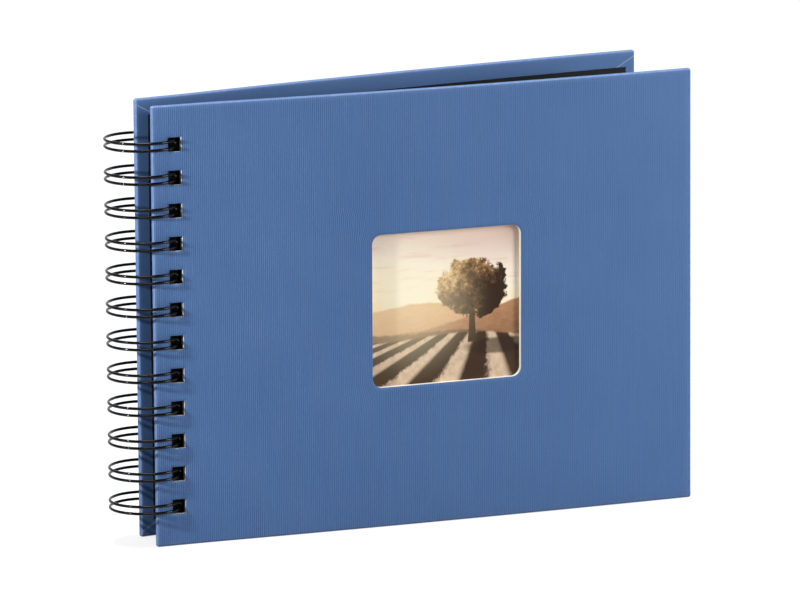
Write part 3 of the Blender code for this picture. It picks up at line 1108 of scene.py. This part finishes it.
    def punched(self, reach: np.ndarray, height: np.ndarray) -> np.ndarray:
        """Which cells between the lines have no hole in them."""
        mid_reach, mid_height = cells(reach, height)
        open_cell = self.punching.inside(mid_reach, mid_height)
        if self.window is not None:
            open_cell |= self.window.inside(mid_reach, mid_height)
        return ~open_cell

    def flat_skin(self, low: tuple[float, float], high: tuple[float, float], depth: float
                  ) -> Skin:
        """A flat plate's skin with the holes and the window in it.

        Args:
            low: Reach and height of the corner nearest the spine and the floor.
            high: Reach and height of the opposite corner.
            depth: How deep its outer side lies in the cover.

        Returns:
            The skin.
        """
        reach, height = (
            merged(np.array([start, end]),
                   lines[(lines > start + self.edge_gap) & (lines < end - self.edge_gap)])
            for lines, start, end in zip((self.reach_lines(), self.height_lines()), low, high))
        x, z = grid(reach, height)
        if self.window is not None:
            x, z = self.window.rounded(x, z)
        return plate(x, np.full_like(x, depth), z, self.punched(reach, height))

    def wrap_skin(self) -> Skin:
        """The covering paper: outer face, four rounded sides and four turned-in strips."""
        skin = Skin()
        reach = self.reach_lines()
        height = self.height_lines()
        self._add_face(skin, reach, height)
        self._add_sides(skin, reach, height)
        self._add_strips(skin, reach, height)
        return skin

    def _add_face(self, skin: Skin, reach: np.ndarray, height: np.ndarray) -> None:
        """Add the outer face, pressed in round the holes and the window."""
        keep = self.punched(reach, height)
        x, z = grid(reach, height)
        flat = grid(self.unrolled(reach, self.width), self.unrolled(height, self.height))
        if self.window is not None:
            x, z = self.window.rounded(x, z)
        points = self.softened(np.stack([x, np.zeros_like(x), z], -1))
        points[..., 1] += self.pressed(x, z)
        skin.add(points, np.stack(flat, -1), Sides.FRONT, keep)

    def _lay(self, skin: Skin, upright: bool, far: bool, place: list[np.ndarray],
             flat: list[np.ndarray], keep: np.ndarray | None = None) -> None:
        """Add a grid of paper along one edge.

        Args:
            skin: What it is added to.
            upright: Whether it runs up a side and not along an end.
            far: Whether it lies at the far side or end, mirrored from the near one.
            place: Distance in from the edge, depth, and place along it.
            flat: Place on the sheet, across the edge and along it.
            keep: Which cells have a face, or None for all.
        """
        length = self.width if upright else self.height
        if far:
            place = [length - place[0], *place[1:]]
            flat = [length - flat[0], flat[1]]
        order = 1 if upright else -1
        side = Sides.FRONT if far is upright else Sides.BACK
        skin.add(self.softened(np.stack(place[::order], -1)), np.stack(flat[::order], -1),
                 side, keep)

    def _add_sides(self, skin: Skin, reach: np.ndarray, height: np.ndarray) -> None:
        """Add the strips of paper that go over the board's four edges."""
        depth = merged(self.outline_lines(self.wrapped))
        over = self.folded(1, depth)
        for far in (False, True):
            for upright, along, length in ((True, height, self.height),
                                           (False, reach, self.width)):
                d, t = grid(depth, along)
                flat = grid(over, self.unrolled(along, length))
                self._lay(skin, upright, far, [np.zeros_like(d), d, t], flat)

    def _add_strips(self, skin: Skin, reach: np.ndarray, height: np.ndarray) -> None:
        """Add the turned-in strips, cut at 45 degrees where they meet at the corners."""
        between = reach[(reach > self.rounding) & (reach < self.turn_in)]
        inset = merged(near_first(self.rounding), between, np.array([self.turn_in]))
        mid_c, mid_z = cells(inset, height)
        side_cells = ~self.punching.inside(mid_c, mid_z)
        mid_c, mid_x = cells(inset, reach)
        end_cells = ~self.punching.inside(mid_x, mid_c)
        for far in (False, True):
            for upright, along, length, keep in (
                    (True, height, self.height, None if far else side_cells),
                    (False, reach, self.width, end_cells)):
                c, t = self._mitred(inset, along, length)
                place = [c, np.full_like(c, self.wrapped), t]
                self._lay(skin, upright, far, place, [self.folded(2, c), t], keep)

    def _mitred(self, inset: np.ndarray, along: np.ndarray, length: float
                ) -> tuple[np.ndarray, np.ndarray]:
        """Grid of a strip whose ends are cut at 45 degrees.

        A line nearer to an end than the zone is drawn in, so that the first one starts at
        the inset. The others are only held clear of it.

        Args:
            inset: Distances in from the cover's edge.
            along: Places along the strip.
            length: The strip's full length.

        Returns:
            Insets and places along, both on the grid.
        """
        c, t = grid(inset, along)
        zone = self.punching.middles()[0] - self.punching.height / 2 - self.rims[-1]
        ends = []
        for place in (t, length - t):
            drawn = c + place * (zone - c) / zone
            ends.append(np.maximum(np.where(place < zone, drawn, place), c))
        return c, np.where(t < length / 2, ends[0], length - ends[1])

    # Pieces.

    def placed(self, sheet: Sheet, carry: Matrix) -> Sheet:
        """Bow a sheet with the cover and carry it to its place in the row frame.

        Args:
            sheet: The sheet in the cover's own coordinates.
            carry: From those coordinates to the row frame, mirrored for a rear cover.

        Returns:
            The same sheet, moved.
        """
        sheet.points[:, 1] -= self.bow(sheet.points[:, 0], sheet.points[:, 2])
        matrix = np.array(carry)
        sheet.points = sheet.points @ matrix[:3, :3].T + matrix[:3, 3]
        return sheet

    def build(self, carry: Matrix, finishes: Finishes) -> None:
        """Build and dress the cover's pieces.

        Args:
            carry: From the cover's own coordinates to the row frame.
            finishes: The materials by slot.
        """
        inset = self.paper + self.air
        board = self.flat_skin((inset, inset), (self.width - inset, self.height - inset), inset)
        lining = replace(self, window=None).flat_skin(
            (self.lining_spine, self.lining_end),
            (self.width - self.lining_side, self.height - self.lining_end),
            self.thickness - self.lining)
        sheets = (
            ("paper", Slot.PAPER, self.wrap_skin(), self.paper, self.roundness),
            ("board", Slot.BOARD, board, self.wrapped - 2.0 * self.paper - 2.0 * self.air, None),
            ("lining", Slot.LINING, lining, self.lining, None),
        )
        for part, slot, skin, thickness, edge in sheets:
            node = f"{self.prefix}_{part}"
            sheet = self.placed(Sheet.thickened(skin, thickness, edge), carry)
            add_piece(node, sheet.mesh(f"{node}_look", self.mirrored), finishes, slot,
                      self.prefix)


@dataclass
class FrontCover(Cover):
    """The cover with the window and the picture behind it."""

    prefix: str = "front_cover"
    mirrored: bool = False
    window: Window | None = field(default_factory=Window)
    overlap: float = 0.0080
    print_depth: float = 0.0021
    print_thickness: float = 0.00025
    print_lines: int = 25

    def carry(self) -> Matrix:
        """From the cover's own coordinates to the row frame."""
        low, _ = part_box("front_cover_paper")
        return Matrix.Translation(low)

    def build_print(self, carry: Matrix, finishes: Finishes) -> None:
        """Build the picture as a sheet that bows with the cover.

        Args:
            carry: From the cover's own coordinates to the row frame.
            finishes: The materials by slot.
        """
        window = self.window
        half_x = window.width / 2 + self.overlap
        half_z = window.height / 2 + self.overlap
        reach = window.from_spine + np.linspace(-half_x, half_x, self.print_lines)
        height = window.middle_height + np.linspace(-half_z, half_z, self.print_lines)
        x, z = grid(reach, height)
        skin = plate(x, np.full_like(x, self.print_depth), z)
        sheet = self.placed(Sheet.thickened(skin, self.print_thickness), carry)
        add_piece("cover_print", sheet.mesh("cover_print_look"), finishes, Slot.PRINT,
                  self.prefix)


@dataclass
class RearCover(Cover):
    """The plain cover behind the leaves, splayed a little from the front one."""

    prefix: str = "rear_cover"
    mirrored: bool = True
    window: Window | None = None
    lining_side: float = 0.0044
    lining_spine: float = 0.0052
    splay: float = 8.1
    holes_past_pivot: float = -0.0003258

    def carry(self, pivot: Vector) -> Matrix:
        """From the cover's own coordinates to the row frame.

        Args:
            pivot: A point on the cover's hinge axis, close to the middle of its hole row.

        Returns:
            The mirrored and turned frame.
        """
        turn = Matrix.Rotation(math.radians(self.splay), 4, "Z")
        mirror = Matrix.Diagonal((1.0, -1.0, 1.0, 1.0))
        spine_edge = self.holes_past_pivot - self.punching.from_edge
        shift = Matrix.Translation((spine_edge, self.thickness / 2, 0.0))
        return Matrix.Translation((pivot.x, pivot.y, 0.0)) @ turn @ shift @ mirror


# --- Wire comb ---

@dataclass
class WireComb:
    """One unbroken wire, bent into pairs of fingers and closed into double loops."""

    ring_radius: float = 0.0139
    wire_radius: float = 0.00056
    finger_spacing: float = 0.0027
    root_bend: float = 0.0010
    root_angle: float = 22.0
    tip_gap: float = 0.0008
    finger_steps: int = 60
    tip_steps: int = 10
    bend_steps: int = 6
    sides: int = 14
    cap_steps: int = 4
    cap_flat: float = 0.001

    def arc(self, centre: tuple[float, float], radius: float, start: float, end: float,
            steps: int) -> np.ndarray:
        """Points on an arc in the unrolled plane, both ends included."""
        angles = np.radians(np.linspace(start, end, steps + 1))
        return np.stack([centre[0] + radius * np.cos(angles),
                         centre[1] + radius * np.sin(angles)], 1)

    def finger(self, start: float, end: float, height: float) -> np.ndarray:
        """Points along one finger, without its ends."""
        along = np.linspace(start, end, self.finger_steps + 1)[1:-1]
        return np.stack([along, np.full_like(along, height)], 1)

    def unrolled(self, heights: np.ndarray) -> np.ndarray:
        """Centre line as arc length round the rings and height.

        The wire runs out along one finger, turns half round at the tip, comes back along the
        other and goes down the root to the next pair.
        """
        root = self.ring_radius * math.radians(self.root_angle)
        tip = root + 2.0 * math.pi * self.ring_radius - 2.0 * self.wire_radius - self.tip_gap
        half = self.finger_spacing / 2
        bend = root + self.root_bend
        runs = []
        last = len(heights) - 1
        for number, height in enumerate(heights[::-1]):
            upper = height + half
            lower = height - half
            if number == 0:
                runs.append(np.array([[root, upper], [bend, upper]]))
            else:
                runs.append(self.arc((bend, upper + self.root_bend), self.root_bend,
                                     180.0, 270.0, self.bend_steps))
            runs.append(self.finger(bend, tip - half, upper))
            runs.append(self.arc((tip - half, height), half, 90.0, -90.0, self.tip_steps))
            runs.append(self.finger(tip - half, bend, lower))
            if number == last:
                runs.append(np.array([[bend, lower], [root, lower]]))
            else:
                runs.append(self.arc((bend, lower - self.root_bend), self.root_bend,
                                     90.0, 180.0, self.bend_steps))
        return np.concatenate(runs)

    def mesh(self, axis: Vector, heights: np.ndarray) -> bpy.types.Mesh:
        """Carry a round profile along the centre line and close it with round ends.

        The profile stands across the wire: one direction points away from the rings' axis
        and the other is at right angles to it and to the wire.

        Args:
            axis: A point on the rings' axis.
            heights: Heights of the double loops.

        Returns:
            The mesh in the row frame.
        """
        flat = self.unrolled(heights)
        angle = flat[:, 0] / self.ring_radius
        outwards = np.stack([np.cos(angle), np.sin(angle), np.zeros_like(angle)], 1)
        line = outwards * self.ring_radius
        line[:, 2] = flat[:, 1]
        forward = np.gradient(line, axis=0)
        forward /= np.linalg.norm(forward, axis=1, keepdims=True)
        turn = np.radians(90.0) * np.arange(1, self.cap_steps + 1) / self.cap_steps
        size = np.cos(turn) * (1.0 - self.cap_flat) + self.cap_flat
        ahead = np.sin(turn) * self.wire_radius
        count = self.cap_steps
        line = np.concatenate([line[:1] - forward[:1] * ahead[::-1, None], line,
                               line[-1:] + forward[-1:] * ahead[:, None]])
        scale = np.concatenate([size[::-1], np.ones(len(flat)), size]) * self.wire_radius
        pick = np.concatenate([np.zeros(count, int), np.arange(len(flat)),
                               np.full(count, len(flat) - 1)])
        outwards = outwards[pick]
        sideways = np.cross(forward[pick], outwards)
        around = 2.0 * math.pi * np.arange(self.sides) / self.sides
        ring = (outwards[:, None] * np.cos(around)[:, None]
                + sideways[:, None] * np.sin(around)[:, None])
        points = line[:, None] + ring * scale[:, None, None]
        points += np.array([axis.x, axis.y, 0.0])
        rows, columns = points.shape[:2]
        number = np.arange(rows * columns).reshape(rows, columns)
        beside = np.roll(number, -1, axis=1)
        faces = np.stack([number[:-1], beside[:-1], beside[1:], number[1:]], -1)
        ends = [number[0][::-1].tolist(), number[-1].tolist()]
        mesh = bpy.data.meshes.new("wire_binding_look")
        mesh.from_pydata(points.reshape(-1, 3).tolist(), [],
                         faces.reshape(-1, 4).tolist() + ends)
        mesh.shade_smooth()
        mesh.update()
        return mesh

    def build(self, axis: Vector, heights: np.ndarray, finishes: Finishes) -> None:
        """Build and dress the binding."""
        add_piece("wire_binding", self.mesh(axis, heights), finishes, Slot.WIRE, "binding")


# --- Leaves ---

@dataclass
class Leaves:
    """The black card leaves, which lean on the front cover and bow with it."""

    count: int = 20
    thickness: float = 0.0003
    pitch: float = 0.0005
    first_plane: float = -0.00815
    hole_reach: float = 0.0124897
    margin: float = 0.0078
    far_edge: float = 0.2193897
    bottom: float = 0.0025
    top: float = 0.1675
    fan: float = 0.02
    followed: float = 0.45
    stagger: float = 0.00025
    fine_stagger: float = 0.00015
    open_start: float = 0.020
    open_lines: int = 16
    punching: Punching = field(default_factory=Punching)

    def skin(self, number: int, cover: Cover, cover_reach: float) -> Skin:
        """One leaf's front side, as places from the rings' axis.

        The leaf stands in its own plane and leaves it by a share of the cover's bow that
        falls evenly from the first leaf to the last. Its edges lie a little differently
        from one leaf to the next.

        Args:
            number: The leaf's number, from 0 behind the front cover.
            cover: The cover that it leans on.
            cover_reach: Where that cover's spine edge lies from the axis.

        Returns:
            The skin.
        """
        half = self.punching.width / 2
        shift = (self.stagger * math.sin(2.4 * number)
                 + self.fine_stagger * math.sin(5.1 * number + 1.0))
        start = self.hole_reach - self.margin + shift
        reach = merged(np.array([start, self.hole_reach - half, self.hole_reach + half]),
                       np.linspace(self.open_start, self.far_edge + shift, self.open_lines))
        rim = self.punching.height / 2
        middles = self.punching.middles()[:, None]
        height = merged(np.array([self.bottom, self.top]),
                        (middles + np.array([-rim, rim])).ravel())
        x, z = grid(reach, height)
        share = 1.0 - (1.0 - self.followed) * number / (self.count - 1)
        y = (self.first_plane + self.pitch * number - self.thickness / 2
             - share * cover.bow(x - cover_reach, z))
        mid_x, mid_z = cells(reach, height)
        past = mid_x - self.hole_reach + self.punching.from_edge
        return plate(x, y, z, ~self.punching.inside(past, mid_z))

    def build(self, axis: Vector, cover: Cover, cover_reach: float,
              finishes: Finishes) -> None:
        """Build and dress every leaf.

        Args:
            axis: A point on the rings' axis, which the leaves turn about.
            cover: The cover that they lean on.
            cover_reach: Where that cover's spine edge lies from the axis.
            finishes: The materials by slot.
        """
        for number in range(self.count):
            name = f"leaf_{number + 1:02d}"
            sheet = Sheet.thickened(self.skin(number, cover, cover_reach), self.thickness)
            turn = np.array(Matrix.Rotation(math.radians(self.fan * (number + 1)), 3, "Z"))
            sheet.points = sheet.points @ turn.T + np.array([axis.x, axis.y, 0.0])
            add_piece(name, sheet.mesh(f"{name}_look"), finishes, Slot.LEAF, name)


# --- Studio ---

@dataclass
class Studio:
    """Floor and light of the photograph."""

    floor_size: float = 40.0
    floor_tone: float = 0.22
    floor_glow: float = 0.68
    ambient: float = 0.12

    def build_floor(self) -> None:
        """A pale floor that the camera and reflections see white where no shadow falls."""
        half = self.floor_size / 2
        mesh = bpy.data.meshes.new("floor")
        mesh.from_pydata([(-half, -half, 0.0), (half, -half, 0.0), (half, half, 0.0),
                          (-half, half, 0.0)], [], [(0, 1, 2, 3)])
        floor = bpy.data.objects.new("floor", mesh)
        bpy.context.scene.collection.objects.link(floor)
        graph = Graph("pale_floor")
        camera, glossy, glass = (
            graph.node("ShaderNodeLightPath", {}, {}, f"Is {kind} Ray")
            for kind in ("Camera", "Glossy", "Transmission"))
        seen = camera.apply("MAXIMUM", glossy).apply("MAXIMUM", glass)
        speck = graph.noise(graph.place(), 90.0, 3.0) * 0.04 + 0.98
        mesh.materials.append(graph.finish(
            Base_Color=graph.tint((self.floor_tone,) * 3, speck), Roughness=0.9,
            Specular_IOR_Level=0.0, Emission_Strength=self.floor_glow,
            Emission_Color=graph.tint((1.0, 1.0, 1.0), seen)))

    def build_world(self) -> None:
        """Soft light from all round."""
        world = bpy.data.worlds.new("studio")
        world.use_nodes = True
        shade = world.node_tree.nodes["Background"]
        shade.inputs["Color"].default_value = (1.0, 1.0, 1.0, 1.0)
        shade.inputs["Strength"].default_value = self.ambient
        bpy.context.scene.world = world

    def build_lamps(self) -> None:
        """Hang every lamp."""
        for lamp in LAMPS:
            lamp.build()


def hang(lamp: bpy.types.Light, towards: Vector) -> bpy.types.Object:
    """Put a lamp in the scene, with its back to a direction, and return what holds it."""
    holder = bpy.data.objects.new(lamp.name, lamp)
    bpy.context.scene.collection.objects.link(holder)
    holder.rotation_euler = (-towards).to_track_quat("-Z", "Y").to_euler()
    return holder


@dataclass(frozen=True)
class Sun:
    """A wide even lamp far away.

    It stands towards a direction from the album, fills an angle of the sky, and gives its
    level as brightness to a white face square to it.
    """

    name: str
    towards: Place
    spread: float
    level: float

    def build(self) -> None:
        """Hang the lamp."""
        lamp = bpy.data.lights.new(self.name, "SUN")
        lamp.energy = self.level * math.pi
        lamp.angle = math.radians(self.spread)
        hang(lamp, Vector(self.towards))


@dataclass(frozen=True)
class Panel:
    """A square lamp that the camera doesn't see.

    It faces the point that it is aimed at, and gives its level as brightness to a white face
    square to it there.
    """

    name: str
    place: Place
    aim: Place
    size: float
    level: float

    def build(self) -> None:
        """Hang the lamp."""
        away = Vector(self.place) - Vector(self.aim)
        lamp = bpy.data.lights.new(self.name, "AREA")
        lamp.size = self.size
        lamp.energy = self.level * math.pi * math.pi * away.length_squared
        holder = hang(lamp, away)
        holder.location = self.place
        holder.visible_camera = False


# A small key close to the spine, a low rim, a wide top light, a wide light from behind and a
# front panel at the right.
LAMPS = (
    Panel("key", place=(-0.355, -0.083, 0.175), aim=(-0.095, -0.025, 0.085), size=0.015,
          level=1.45),
    Sun("rim", towards=(-1.0, -0.03, 0.20), spread=14.0, level=0.12),
    Sun("top", towards=(0.05, -0.02, 1.0), spread=26.0, level=1.50),
    Sun("back", towards=(0.50, 1.0, 0.60), spread=110.0, level=0.45),
    Panel("front", place=(0.64, -0.50, 0.31), aim=(0.0, 0.0, 0.085), size=0.30, level=0.80),
)


@dataclass
class PhotoCamera:
    """The photograph's viewpoint, fitted to the album's corners.

    The view is given by the angles of its axis, the distance along that axis from the
    target, and how far the target lies off the axis.
    """

    azimuth: float = -21.6371
    elevation: float = 10.9271
    roll: float = -0.4268
    distance: float = 2.8335
    off_right: float = 0.0043318
    off_up: float = -0.0005810
    target: Place = (0.005065, -0.014385, 0.085)
    lens: float = 331.218
    sensor: float = 36.0
    clip_start: float = 0.05
    clip_end: float = 50.0

    def build(self) -> None:
        """Make the camera and give it to the scene."""
        azimuth = math.radians(self.azimuth)
        elevation = math.radians(self.elevation)
        back = Vector((math.sin(azimuth) * math.cos(elevation),
                       -math.cos(azimuth) * math.cos(elevation), math.sin(elevation)))
        level = Vector((0.0, 0.0, 1.0)).cross(back).normalized()
        upright = back.cross(level)
        cosine = math.cos(math.radians(self.roll))
        sine = math.sin(math.radians(self.roll))
        right = level * cosine + upright * sine
        up = upright * cosine - level * sine
        place = (Vector(self.target) - right * self.off_right - up * self.off_up
                 + back * self.distance)
        turn = Matrix((right, up, back)).transposed().to_4x4()
        data = bpy.data.cameras.new("photo_camera")
        data.lens = self.lens
        data.sensor_width = self.sensor
        data.clip_start = self.clip_start
        data.clip_end = self.clip_end
        camera = bpy.data.objects.new("photo_camera", data)
        bpy.context.scene.collection.objects.link(camera)
        camera.matrix_world = Matrix.Translation(place) @ turn
        bpy.context.scene.camera = camera


# --- Assembly ---


def joint_place(joints: list[dict], name: str) -> Vector:
    """Where a joint stands in the row frame."""
    return next(Vector(joint["pos_m"]) for joint in joints if joint["name"] == name)


def main() -> None:
    """Load the frame, build every piece on it and set up the studio."""
    logging.basicConfig(level=logging.INFO, format="%(name)s %(message)s")
    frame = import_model()
    front = FrontCover()
    rear = RearCover()
    window = front.window
    finishes = {
        Slot.PAPER: LinenPaper(front.width, front.height, front.fold()).material(),
        Slot.BOARD: CutBoard().material(),
        Slot.LINING: Card(Slot.LINING, (0.010, 0.011, 0.012)).material(),
        Slot.LEAF: Card(Slot.LEAF, (0.007, 0.0075, 0.008), 1300.0).material(),
        Slot.PRINT: DuskPrint((window.from_spine, window.middle_height),
                              window.width / 2).material(),
        Slot.WIRE: CoatedWire().material(),
    }
    ring_axis = joint_place(frame["joints"], "front_cover_hinge")
    rear_pivot = joint_place(frame["joints"], "rear_cover_hinge")
    heights = front.punching.middles()
    front.build(front.carry(), finishes)
    front.build_print(front.carry(), finishes)
    rear.build(rear.carry(rear_pivot), finishes)
    WireComb().build(ring_axis, heights, finishes)
    Leaves().build(ring_axis, front, front.carry().translation.x - ring_axis.x, finishes)
    studio = Studio()
    studio.build_floor()
    studio.build_world()
    studio.build_lamps()
    PhotoCamera().build()
    bpy.context.scene.view_settings.view_transform = "Standard"


if __name__ == "__main__":
    main()
